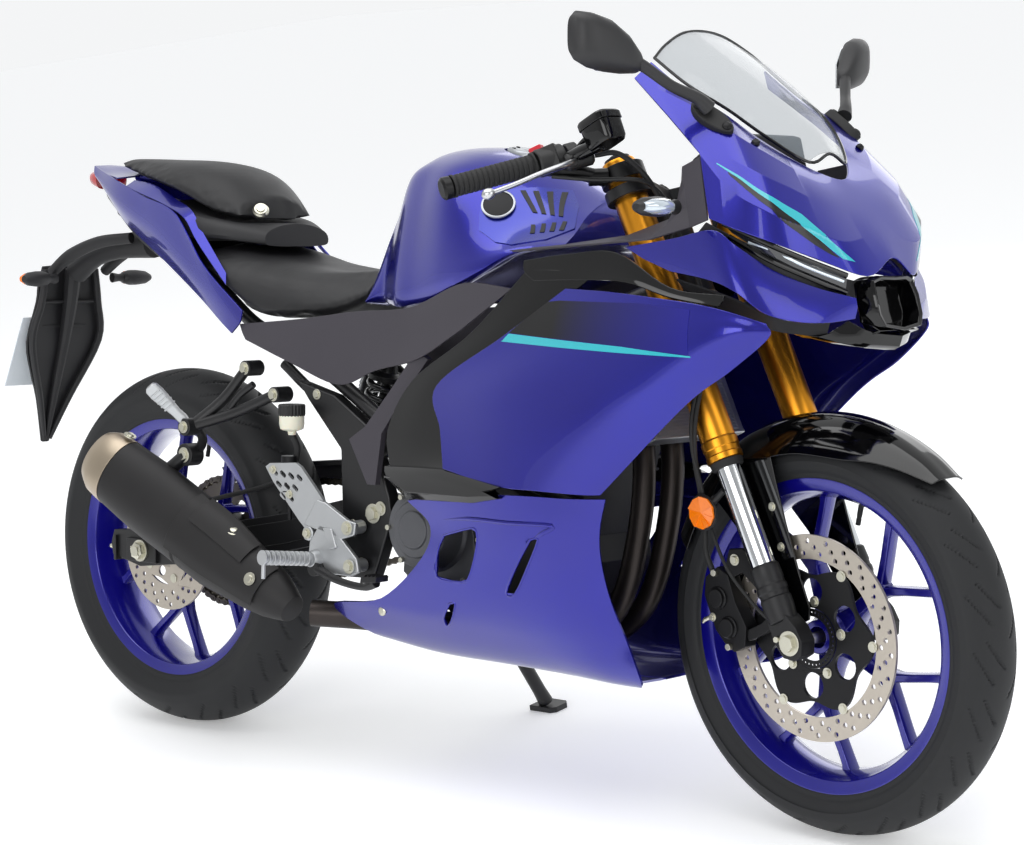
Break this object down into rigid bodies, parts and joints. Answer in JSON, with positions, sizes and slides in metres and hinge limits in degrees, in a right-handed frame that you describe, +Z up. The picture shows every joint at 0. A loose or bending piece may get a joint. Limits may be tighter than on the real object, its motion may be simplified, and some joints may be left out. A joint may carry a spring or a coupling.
{
  "type": "sport motorcycle",
  "caption": "Fully faired sport motorcycle leaning on its side stand, with turning wheels, steering, folding stand and hinged filler cap.",
  "frame": {"origin": "middle of the bounding box on the ground", "axes": "+X forward along the bike, +Y to the rider's left, towards which it leans, +Z up"},
  "size_m": [2.093, 0.7774, 1.2049],
  "materials": {
    "body_paint": "metallic blue-violet lacquer",
    "wheel_paint": "blue powder coat on cast aluminium",
    "tyre_rubber": "matt rubber",
    "disc_steel": "ground steel",
    "gloss_black": "gloss black moulding",
    "matte_black_plastic": "grained black moulding",
    "matte_grey_plastic": "grained dark grey moulding",
    "black_steel": "satin black enamel",
    "black_aluminium": "black anodised",
    "gold_anodised": "gold anodised",
    "chrome_steel": "hard chrome and black cast feet",
    "engine_metal": "dark grey cast aluminium",
    "bare_aluminium": "bead-blasted aluminium",
    "header_steel": "heat-darkened stainless steel",
    "muffler_coating": "matt black heat-proof coating",
    "end_cap_steel": "satin stainless steel",
    "shock_steel": "black enamel spring",
    "chain_steel": "oiled chain steel",
    "seat_vinyl": "grained black vinyl",
    "clear_lens": "clear moulded lens",
    "red_lens": "red moulded lens",
    "screen": "clear acrylic",
    "plate_white": "blank pale plate"
  },
  "bodies": {
    "front_wheel_assembly": {"front_tyre": "tyre_rubber", "front_wheel_rim": "wheel_paint", "front_brake_disc": "disc_steel"},
    "front_fork": {"fork_upper": "gold_anodised", "fork_lowers": "chrome_steel", "front_brake_caliper": "black_aluminium", "front_fender": "gloss_black", "handlebar_left": "black_aluminium", "handlebar_right": "black_aluminium"},
    "rear_wheel_assembly": {"rear_tyre": "tyre_rubber", "rear_wheel_rim": "wheel_paint", "rear_brake_disc": "disc_steel"},
    "chassis": {"frame": "black_steel", "engine": "engine_metal", "radiator": "bare_aluminium", "exhaust_headers": "header_steel", "muffler": "muffler_coating", "muffler_end_cap": "end_cap_steel", "swingarm": "black_steel", "rear_shock": "shock_steel", "drive_chain": "chain_steel", "rear_brake": "black_aluminium", "fuel_tank": "body_paint", "rider_seat": "seat_vinyl", "pillion_seat": "seat_vinyl", "seat_base": "matte_black_plastic", "tail_panel_left": "body_paint", "tail_panel_right": "body_paint", "tail_light": "red_lens", "rear_fender": "matte_black_plastic", "number_plate": "plate_white", "rear_indicator_left": "matte_black_plastic", "rear_indicator_right": "matte_black_plastic", "side_cover_left": "matte_grey_plastic", "side_cover_right": "matte_grey_plastic", "side_fairing_left": "body_paint", "side_fairing_right": "body_paint", "lower_fairing_left": "body_paint", "lower_fairing_right": "body_paint", "inner_fairing_left": "gloss_black", "inner_fairing_right": "gloss_black", "upper_cowl": "body_paint", "windscreen": "screen", "headlight_cowl_left": "body_paint", "headlight_cowl_right": "body_paint", "headlight_left": "clear_lens", "headlight_right": "clear_lens", "intake_duct": "gloss_black", "mirror_left": "matte_black_plastic", "mirror_right": "matte_black_plastic", "front_indicator_left": "clear_lens", "front_indicator_right": "clear_lens", "instrument_panel": "matte_black_plastic", "rider_footrest_left": "bare_aluminium", "rider_footrest_right": "bare_aluminium", "pillion_footrest_left": "black_steel", "pillion_footrest_right": "black_steel"},
    "filler_cap": {"fuel_cap": "bare_aluminium"},
    "stand": {"side_stand": "black_steel"}
  },
  "joints": [
    {"name": "steering", "type": "hinge", "parent": "chassis", "child": "front_fork", "pos_m": [0.46899, -0.01373, 0.80519], "axis": [-0.4232, 0.1573, 0.8923], "range_deg": [-28.7, 39.3]},
    {"name": "front_wheel", "type": "hinge", "parent": "front_fork", "child": "front_wheel_assembly", "pos_m": [0.75453, -0.1079, 0.29117], "axis": [0.0837, 0.9874, -0.1344], "continuous": true},
    {"name": "rear_wheel", "type": "hinge", "parent": "chassis", "child": "rear_wheel_assembly", "pos_m": [-0.62534, -0.10096, 0.31046], "axis": [0, 0.9848, -0.1736], "continuous": true},
    {"name": "side_stand", "type": "hinge", "parent": "chassis", "child": "stand", "pos_m": [-0.07532, 0.02782, 0.25764], "axis": [0.233, 0.8836, 0.4062], "range_deg": [0, 96.7]},
    {"name": "filler_cap", "type": "hinge", "parent": "chassis", "child": "filler_cap", "pos_m": [0.21384, 0.01605, 0.97409], "axis": [0, 0.9848, -0.1736], "range_deg": [0, 95]}
  ]
}
